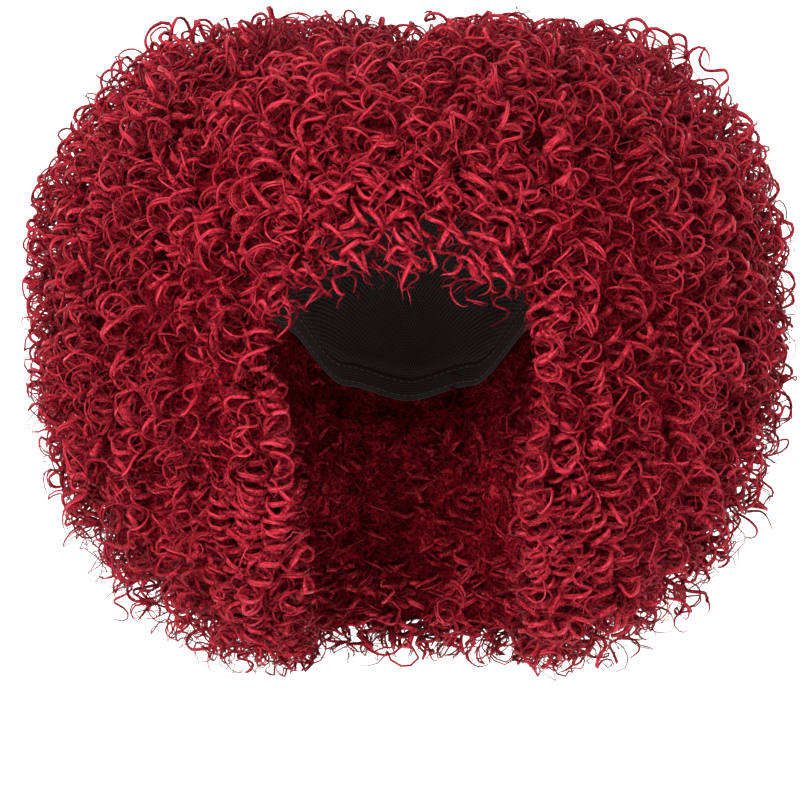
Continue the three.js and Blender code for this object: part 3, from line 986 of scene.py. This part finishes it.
def head_point(turn, down, offset):
    """A point on the head, offset outwards."""
    head = bpy.context.scene.head_form
    across = np.sin(down)
    x = np.sin(turn * pi) * across * (head.half_width + offset)
    y = -np.cos(turn * pi) * across * (head.half_length + offset)
    z = np.cos(down) * (head.half_height + offset) - head.half_height
    return np.stack([x, y, z], axis=-1)


def wrapped_mesh(name, rings, maps, closed):
    """A mesh from rings of points round the head, with its map."""
    shape = bmesh.new()
    layer = shape.loops.layers.uv.new("cloth")
    corners = [[shape.verts.new(point) for point in ring] for ring in rings]
    count = len(rings[0])
    steps = len(rings) if closed else len(rings) - 1
    for i in range(steps):
        k = (i + 1) % len(rings)
        for j in range(count):
            places = ((i, j), (k, j), (k, j + 1), (i, j + 1))
            face = shape.faces.new([corners[a][b % count] for a, b in places])
            for loop, (a, b) in zip(face.loops, places):
                loop[layer].uv = maps(a, b)
            face.smooth = True
    bmesh.ops.remove_doubles(shape, verts=shape.verts, dist=SAME_PLACE)
    bmesh.ops.recalc_face_normals(shape, faces=shape.faces)
    return finished_mesh(shape, name)


def cap_mesh():
    """Thin stretch net over the crown, as an inner and an outer skin that meet at the edge."""
    head = bpy.context.scene.head_form
    turns = all_round(NET_STEPS)
    edge = rim_angle(turns) - head.band_width / head.half_height - NET_GAP
    shares = np.linspace(0, 1, NET_RINGS)
    inner = [head_point(turns, share * edge, 0.0) for share in shares]
    outer = [head_point(turns, share * edge, head.wall) for share in shares[::-1]]
    lip = head_point(turns, edge + NET_LIP, head.wall / 2)
    downs = np.concatenate([shares, [1.0], shares[::-1]])

    def flat(ring, place):
        place %= NET_STEPS
        angle = (turns[place] + MAP_TURN) * pi
        reach = downs[ring] * edge[place] * head.half_length
        return reach * np.sin(angle), reach * np.cos(angle)

    return wrapped_mesh("cap_net", [*inner, lip, *outer], flat, False)


def rim_mesh():
    """Elastic band in a closed loop along the rim."""
    head = bpy.context.scene.head_form
    turns = all_round(BAND_STEPS)
    rim = rim_angle(turns)
    width = head.band_width / head.half_height
    rings = [
        head_point(turns, rim - width * (1 - down), head.wall * through)
        for through, down in BAND_SECTION
    ]
    run = np.linalg.norm(np.diff(rings[0], axis=0, append=rings[0][:1]), axis=1).cumsum()
    run = np.concatenate([[0.0], run])

    def flat(ring, place):
        return run[place], BAND_SECTION[ring][1] * head.band_width

    return wrapped_mesh("elastic_band", rings, flat, True)


def stitch_lines():
    """Two lines along the inside of the band, to sew along."""
    head = bpy.context.scene.head_form
    turns = all_round(STITCH_STEPS)
    width = head.band_width / head.half_height
    shape = bmesh.new()
    for share in STITCH_ROWS:
        down = rim_angle(turns) - width * (1 - share)
        corners = [shape.verts.new(point) for point in head_point(turns, down, -STITCH_SINK)]
        for corner, following in zip(corners, corners[1:] + corners[:1]):
            shape.edges.new((corner, following))
    return placed("stitch_lines", finished_mesh(shape, "stitch_lines"))


def stitch_sizes():
    """Sizes that the stitches take from the settings."""
    head = bpy.context.scene.head_form
    return {
        "Length": head.stitch_length,
        "Thickness": head.stitch_thickness,
        "Spacing": head.stitch_spacing,
    }


@cache
def stitching():
    """Geometry node tree: short rounded stitches along every line of a mesh."""
    tree = bpy.data.node_groups.new("Stitching", "GeometryNodeTree")
    socket = tree.interface.new_socket
    socket("Geometry", in_out="INPUT", socket_type="NodeSocketGeometry")
    for label, value in stitch_sizes().items():
        made = socket(label, in_out="INPUT", socket_type="NodeSocketFloat")
        made.default_value = value
        made.subtype = "DISTANCE"
    socket("Thread", in_out="INPUT", socket_type="NodeSocketMaterial")
    socket("Geometry", in_out="OUTPUT", socket_type="NodeSocketGeometry")
    given = tree.nodes.new("NodeGroupInput").outputs
    thickness = given["Thickness"]
    curve = add_node(tree, "GeometryNodeMeshToCurve", {"Mesh": given["Geometry"]})
    points = add_node(
        tree, "GeometryNodeCurveToPoints", {"Curve": curve, "Length": given["Spacing"]}, mode="LENGTH"
    )
    ball = add_node(tree, "GeometryNodeMeshUVSphere", {"Segments": 6, "Rings": 5, "Radius": 0.5})
    size = add_node(
        tree, "ShaderNodeCombineXYZ", {"X": thickness, "Y": thickness, "Z": given["Length"]}
    )
    shaped = add_node(tree, "GeometryNodeTransform", {"Geometry": ball, "Scale": size})
    turned = points.outputs["Rotation"]
    stitches = add_node(
        tree, "GeometryNodeInstanceOnPoints",
        {"Points": points, "Rotation": turned, "Instance": shaped},
    )
    real = add_node(tree, "GeometryNodeRealizeInstances", {"Geometry": stitches})
    painted = add_node(
        tree, "GeometryNodeSetMaterial", {"Geometry": real, "Material": given["Thread"]}
    )
    add_node(tree, "NodeGroupOutput", {"Geometry": painted})
    return tree


def sewn_mesh(thread):
    """Stitches along the band, as a plain mesh."""
    lines = stitch_lines()
    sewing = lines.modifiers.new("sewing", "NODES")
    sewing.node_group = stitching()
    values = {**stitch_sizes(), "Thread": thread}
    for item in sewing.node_group.interface.items_tree:
        if item.name in values and item.in_out == "INPUT":
            sewing[item.identifier] = values[item.name]
    mesh = evaluated_mesh(lines, "stitches")
    bpy.data.objects.remove(lines)
    return mesh


def make_curls(name):
    """One group of curls: its inner mass and the strands round it, as one piece."""
    bands = mesh_of_bands(name + "_bands", mixed_bands(name))
    mass = inner_mass(name)
    joined = bmesh.new()
    joined.from_mesh(bands)
    joined.from_mesh(mass)
    mesh = finished_mesh(joined, name + "_look")
    index = np.zeros(len(mesh.polygons), dtype=np.int32)
    index[len(bands.polygons):] = 1
    mesh.polygons.foreach_set("use_smooth", np.ones(len(mesh.polygons), dtype=bool))
    bpy.data.meshes.remove(bands)
    bpy.data.meshes.remove(mass)
    add_piece(name + "_look", mesh, [curl_material(), mass_material()], name)
    mesh.polygons.foreach_set("material_index", index)


def set_inputs(tree, node, inputs):
    """Give inputs their values, or link them to a socket or to the first output of a node."""
    for key, value in inputs.items():
        if isinstance(value, bpy.types.Node):
            value = value.outputs[0]
        if isinstance(value, bpy.types.NodeSocket):
            tree.links.new(value, node.inputs[key])
        else:
            node.inputs[key].default_value = value


def add_node(tree, kind, inputs, **values):
    """A node with its properties set and its inputs set or linked."""
    node = tree.nodes.new(kind)
    for key, value in values.items():
        setattr(node, key, value)
    set_inputs(tree, node, inputs)
    return node


def maths(tree, operation, *values):
    """A sum, a product or the like of numbers and outputs."""
    return add_node(tree, "ShaderNodeMath", dict(enumerate(values)), operation=operation)


def mapped(tree, value, before=(0.0, 1.0), after=(0.0, 1.0)):
    """A value carried from one range to another."""
    keys = ("Value", "From Min", "From Max", "To Min", "To Max")
    return add_node(tree, "ShaderNodeMapRange", dict(zip(keys, (value, *before, *after))))


def noise(tree, place, scale, detail, roughness=0.5, distortion=0.0):
    """A noise texture at a place."""
    keys = ("Vector", "Scale", "Detail", "Roughness", "Distortion")
    values = (place, scale, detail, roughness, distortion)
    return add_node(tree, "ShaderNodeTexNoise", dict(zip(keys, values)))


def group_node(tree, group, inputs):
    """A node that stands for a whole group."""
    return add_node(tree, "ShaderNodeGroup", inputs, node_tree=group)


def bumped(tree, height, strength, distance):
    """Fine relief from a height."""
    inputs = {"Height": height, "Strength": strength, "Distance": distance}
    return add_node(tree, "ShaderNodeBump", inputs)


def object_place(tree):
    """Place on the object, in its own coordinates."""
    return tree.nodes.new("ShaderNodeTexCoord").outputs["Object"]


def colour_ramp(tree, value, stops):
    """Colours for a value, by their places on a ramp."""
    ramp = add_node(tree, "ShaderNodeValToRGB", {"Fac": value})
    elements = ramp.color_ramp.elements
    while len(elements) < len(stops):
        elements.new(0.5)
    for element, (place, colour) in zip(elements, stops):
        element.position = place
        element.color = (*colour, 1)
    return ramp


def shades(colour, dark, light):
    """A darker and a lighter shade of a colour."""
    return [c * dark for c in colour], [c * light for c in colour]


def new_material(name, roughness, gloss=0.5, tint=(1, 1, 1)):
    """A material with its node tree and its shader."""
    material = bpy.data.materials.new(name)
    material.use_nodes = True
    tree = material.node_tree
    shader = tree.nodes["Principled BSDF"]
    inputs = {"Roughness": roughness, "Specular IOR Level": gloss, "Specular Tint": (*tint, 1)}
    set_inputs(tree, shader, inputs)
    return material, tree, shader


def new_group(name, inputs, outputs):
    """An empty shader node group with named number sockets, what it is given, and its end."""
    group = bpy.data.node_groups.new(name, "ShaderNodeTree")
    socket = group.interface.new_socket
    socket("Vector", in_out="INPUT", socket_type="NodeSocketVector")
    for label, value in inputs.items():
        made = socket(label, in_out="INPUT", socket_type="NodeSocketFloat")
        made.default_value = value
    for label in outputs:
        socket(label, in_out="OUTPUT", socket_type="NodeSocketFloat")
    return group, group.nodes.new("NodeGroupInput").outputs, group.nodes.new("NodeGroupOutput")


@cache
def fibre_streaks():
    """Node group: fine lengthwise streaks of a bundle of fibres."""
    tree, given, end = new_group(
        "Fibre Streaks", {"Tone": 0.5, "Streaks": 18.0, "Waver": 70.0}, ("Shade", "Height")
    )
    split = add_node(tree, "ShaderNodeSeparateXYZ", {0: given["Vector"]})
    across = maths(tree, "MULTIPLY", split.outputs["X"], given["Streaks"])
    down = maths(tree, "MULTIPLY", split.outputs["Y"], given["Waver"])
    apart = maths(tree, "MULTIPLY", given["Tone"], 40.0)
    place = add_node(tree, "ShaderNodeCombineXYZ", {"X": across, "Y": down, "Z": apart})
    sharp = mapped(tree, noise(tree, place, 1.0, 2.0, 0.6), (0.42, 0.58))
    shade = {"Factor": 0.5, "A": sharp, "B": given["Tone"]}
    mix = add_node(tree, "ShaderNodeMix", shade, data_type="FLOAT")
    set_inputs(tree, end, {"Shade": mix, "Height": sharp})
    return tree


@cache
def tangled_lines():
    """Node group: fine curved lines of tangled fibres, as the level lines of three noises."""
    tree, given, end = new_group("Tangled Lines", {"Scale": 150.0, "Width": 0.03}, ("Lines",))
    strongest = None
    for shift in (0.0, 3.7, 8.3):
        moved = {0: given["Vector"], 1: (shift, shift, -shift)}
        place = add_node(tree, "ShaderNodeVectorMath", moved, operation="ADD")
        cloud = noise(tree, place, given["Scale"], 1.0, 0.4, 0.8)
        away = maths(tree, "ABSOLUTE", maths(tree, "SUBTRACT", cloud, 0.5))
        line = mapped(tree, away, (0.0, given["Width"]), (1.0, 0.0))
        strongest = maths(tree, "MAXIMUM", strongest, line) if strongest else line
    set_inputs(tree, end, {"Lines": strongest})
    return tree


@cache
def woven_threads():
    """Node group: two sets of threads that cross, 1 along their middles and 0 in the holes."""
    tree, given, end = new_group(
        "Woven Threads", {"Across": 400.0, "Along": 400.0, "Width": 0.5}, ("Threads",)
    )
    split = add_node(tree, "ShaderNodeSeparateXYZ", {0: given["Vector"]})
    ridges = []
    for axis, density in (("X", "Across"), ("Y", "Along")):
        count = maths(tree, "MULTIPLY", split.outputs[axis], given[density])
        wave = maths(tree, "PINGPONG", count, 0.5)
        ridges.append(mapped(tree, wave, (0.0, given["Width"]), (1.0, 0.0)))
    set_inputs(tree, end, {"Threads": maths(tree, "MAXIMUM", *ridges)})
    return tree


def woven_material(name, colour, across, along, width, depth, gloss):
    """Cloth of crossing threads on the piece's own map, uneven in shade, with painted shade in the
    gaps between the threads.
    """
    material, tree, shader = new_material(name, 0.8, gloss)
    cloth = add_node(tree, "ShaderNodeUVMap", {}, uv_map="cloth")
    inputs = {"Vector": cloth, "Across": across, "Along": along, "Width": width}
    weave = group_node(tree, woven_threads(), inputs)
    worn = mapped(tree, noise(tree, object_place(tree), 45.0, 4.0), after=(0.6, 1.3))
    # Painted shade: the cloth runs from light along the threads' middles to near-black in the gaps
    # between them
    dark, light = shades(colour, 0.15, 1.4)
    ramp = colour_ramp(tree, maths(tree, "MULTIPLY", weave, worn), ((0.0, dark), (1.0, light)))
    rough = mapped(tree, weave, after=(0.95, 0.65))
    bump = bumped(tree, weave, 0.9, depth)
    set_inputs(tree, shader, {"Base Color": ramp, "Roughness": rough, "Normal": bump})
    return material


def thread_material(colour):
    """Twisted sewing thread."""
    material, tree, shader = new_material("sewing_thread", 0.6, 0.3)
    twist = noise(tree, object_place(tree), 2500.0, 1.0)
    dark, light = shades(colour, 0.6, 1.8)
    ramp = colour_ramp(tree, twist, ((0.3, dark), (0.7, light)))
    set_inputs(tree, shader, {"Base Color": ramp, "Normal": bumped(tree, twist, 0.6, 0.0001)})
    return material


@cache
def curl_material():
    """Satin dark red fibres in bundles."""
    colours = bpy.context.scene.wig_colours
    material, tree, shader = new_material("curl_fibre", 0.45, 0.14, HAIR_GLOSS)
    fibre = add_node(tree, "ShaderNodeUVMap", {}, uv_map="fibre")
    # The tone holds each lock's random tone together with the painted highlight and shade round each
    # coil
    tone = add_node(tree, "ShaderNodeAttribute", {}, attribute_name="tone").outputs["Fac"]
    inputs = {"Vector": fibre, "Tone": tone, "Streaks": 6.5, "Waver": 90.0}
    streaks = group_node(tree, fibre_streaks(), inputs)
    height = streaks.outputs["Height"]
    stops = ((0.12, colours.fibre_dark), (0.5, colours.fibre_mid), (0.95, colours.fibre_light))
    ramp = colour_ramp(tree, streaks, stops)
    rough = mapped(tree, height, after=(0.65, 0.36))
    bump = bumped(tree, height, 0.8, 0.0004)
    set_inputs(tree, shader, {"Base Color": ramp, "Roughness": rough, "Normal": bump})
    return material


@cache
def mass_material():
    """Fine tangled fibres between the curls, on a near-black ground that is painted shade for the
    depth between them.
    """
    colours = bpy.context.scene.wig_colours
    material, tree, shader = new_material("hair_mass", 0.75, 0.04, HAIR_GLOSS)
    place = object_place(tree)
    coarse, fine = (
        group_node(tree, tangled_lines(), {"Vector": place, "Scale": scale, "Width": width})
        for scale, width in ((130.0, 0.035), (230.0, 0.05))
    )
    lines = maths(tree, "MAXIMUM", coarse, maths(tree, "MULTIPLY", fine, 0.6))
    # Painted shade: where no fibre lines lie, the mass takes the near-black depth colour. Random
    # patches dim the lines so that more of it shows
    shade_patches = mapped(tree, noise(tree, place, 60.0, 2.0), (0.35, 0.65), (0.35, 1.0))
    stops = ((0.0, colours.depth), (0.55, colours.fibre_mid), (1.0, colours.fibre_light))
    ramp = colour_ramp(tree, maths(tree, "MULTIPLY", lines, shade_patches), stops)
    set_inputs(tree, shader, {"Base Color": ramp, "Normal": bumped(tree, lines, 1.0, 0.0012)})
    return material


class WIG_OT_cap(bpy.types.Operator):
    """Make the stretch net of the cap"""

    bl_idname = "wig.cap"
    bl_label = "Cap"

    def execute(self, context):
        colour = context.scene.wig_colours.net
        material = woven_material("stretch_net", colour, 420.0, 420.0, 0.32, 0.0004, 0.3)
        add_piece("wig_cap_look", cap_mesh(), [material], "wig_cap")
        return {"FINISHED"}


class WIG_OT_band(bpy.types.Operator):
    """Make the elastic rim band with its stitches"""

    bl_idname = "wig.band"
    bl_label = "Rim Band"

    def execute(self, context):
        colour = context.scene.wig_colours.elastic
        material = woven_material("woven_elastic", colour, 900.0, 640.0, 0.5, 0.0003, 0.4)
        add_piece("rim_band_look", rim_mesh(), [material], "rim_band")
        thread = thread_material(context.scene.wig_colours.thread)
        sewn = sewn_mesh(thread)
        if not len(sewn.polygons):
            raise RuntimeError("the stitches along the rim band weren't made")
        sewn.materials.clear()
        add_piece("rim_stitches", sewn, [thread], None)
        return {"FINISHED"}


class WIG_OT_upper_curls(bpy.types.Operator):
    """Make the curls of the crown and the back"""

    bl_idname = "wig.upper_curls"
    bl_label = "Upper Curls"

    def execute(self, context):
        for name in UPPER_NODES:
            make_curls(name)
        return {"FINISHED"}


class WIG_OT_lower_curls(bpy.types.Operator):
    """Make the curls beside the face and behind the neck"""

    bl_idname = "wig.lower_curls"
    bl_label = "Lower Curls"

    def execute(self, context):
        for name in LOWER_NODES:
            make_curls(name)
        return {"FINISHED"}


class WIG_OT_fringe(bpy.types.Operator):
    """Make the hair over the forehead with its curly fringe"""

    bl_idname = "wig.fringe"
    bl_label = "Fringe"

    def execute(self, context):
        make_curls(FRINGE_NODE)
        return {"FINISHED"}


def add_light(name, place, size, power):
    """A square light that points at the middle of the wig."""
    light = bpy.data.lights.new(name, "AREA")
    light.size = size
    light.energy = power
    lamp = placed(name, light)
    lamp.location = place
    target = (CAD_LOW + CAD_HIGH) / 2
    lamp.rotation_euler = (target - Vector(place)).to_track_quat("-Z", "Y").to_euler()


def backdrop_mesh():
    """Floor that bends up into a wall behind."""
    half, front, behind, bend, floor, top, steps = BACKDROP.values()
    outline = [(front, floor)]
    for angle in np.linspace(0, pi / 2, steps):
        outline.append((behind + bend * np.sin(angle), floor + bend * (1 - np.cos(angle))))
    outline.append((behind + bend, top))
    sweep = bmesh.new()
    rows = [[sweep.verts.new((x, y, z)) for x in (-half, half)] for y, z in outline]
    for near, far in zip(rows, rows[1:]):
        sweep.faces.new((near[0], near[1], far[1], far[0])).smooth = True
    return finished_mesh(sweep, "backdrop")


class WIG_OT_stage(bpy.types.Operator):
    """Make the floor, the backdrop, the lights and the camera"""

    bl_idname = "wig.stage"
    bl_label = "Stage"

    def execute(self, context):
        scene = context.scene
        backdrop = placed("backdrop", backdrop_mesh())
        material, tree, shader = new_material("paper", 0.9)
        paper = {
            "Base Color": (0.95, 0.95, 0.95, 1),
            "Emission Color": (1, 1, 1, 1),
            "Emission Strength": 0.6,
        }
        set_inputs(tree, shader, paper)
        backdrop.data.materials.append(material)
        for values in LIGHTS:
            add_light(*values)
        scene.world = bpy.data.worlds.new("studio")
        scene.world.use_nodes = True
        sky = scene.world.node_tree
        light = {"Color": (1, 1, 1, 1), "Strength": WORLD_STRENGTH}
        set_inputs(sky, sky.nodes["Background"], light)
        scene.view_settings.view_transform = "Standard"
        scene.camera = placed("camera", bpy.data.cameras.new("camera"))
        scene.camera.location = CAMERA_PLACE
        scene.camera.rotation_euler = (radians(90), 0, 0)
        lens = scene.camera.data
        lens.lens = lens.sensor_width * -CAMERA_PLACE[1] / CAMERA_FIELD
        return {"FINISHED"}


class WIG_PT_panel(bpy.types.Panel):
    """Lists the steps that make the wig"""

    bl_label = "Afro Wig"
    bl_idname = "WIG_PT_panel"
    bl_space_type = "VIEW_3D"
    bl_region_type = "UI"
    bl_category = "Afro Wig"

    def draw(self, context):
        for operator in OPERATORS:
            self.layout.operator(operator.bl_idname)


OPERATORS = (
    WIG_OT_stage, WIG_OT_cap, WIG_OT_band, WIG_OT_upper_curls, WIG_OT_lower_curls, WIG_OT_fringe
)
SETTINGS = {
    "hair_form": HairForm,
    "head_form": HeadForm,
    "curl_form": CurlForm,
    "wig_colours": WigColours,
}


def register():
    for cls in (*SETTINGS.values(), *OPERATORS, WIG_PT_panel):
        bpy.utils.register_class(cls)
    for name, group in SETTINGS.items():
        setattr(bpy.types.Scene, name, PointerProperty(type=group))


def unregister():
    for name in SETTINGS:
        delattr(bpy.types.Scene, name)
    for cls in (WIG_PT_panel, *reversed(OPERATORS), *reversed(SETTINGS.values())):
        bpy.utils.unregister_class(cls)


def main():
    register()
    bpy.ops.wig.stage()
    bpy.ops.wig.cap()
    bpy.ops.wig.band()
    bpy.ops.wig.upper_curls()
    bpy.ops.wig.lower_curls()
    bpy.ops.wig.fringe()


if __name__ == "__main__":
    main()
